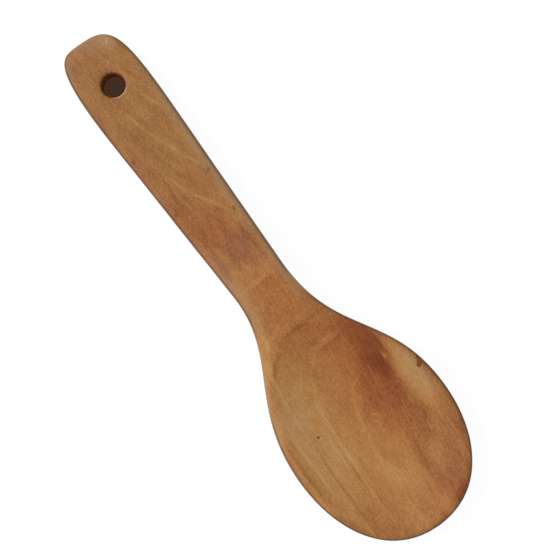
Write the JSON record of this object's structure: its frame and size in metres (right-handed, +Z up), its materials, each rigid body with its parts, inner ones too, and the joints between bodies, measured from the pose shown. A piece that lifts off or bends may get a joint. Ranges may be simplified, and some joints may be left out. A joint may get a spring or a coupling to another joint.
{
  "type": "wooden spoon",
  "caption": "Short flat-handled wooden spoon with a broad shallow dish, a cranked neck and a hang hole near the handle's end, for stirring and serving.",
  "frame": {"origin": "point on the table under the middle of the spoon's box, with the spoon lying dish up", "axes": "+X from the handle's end to the tip of the bowl, +Z up out of the dish, +Y across to the left"},
  "size_m": [0.21, 0.061, 0.013],
  "materials": {
    "wood": "satin",
    "knot": "satin"
  },
  "bodies": {
    "root": {"carved_spoon": "wood", "rim_knot": "knot", "pin_knot": "knot"}
  },
  "joints": []
}
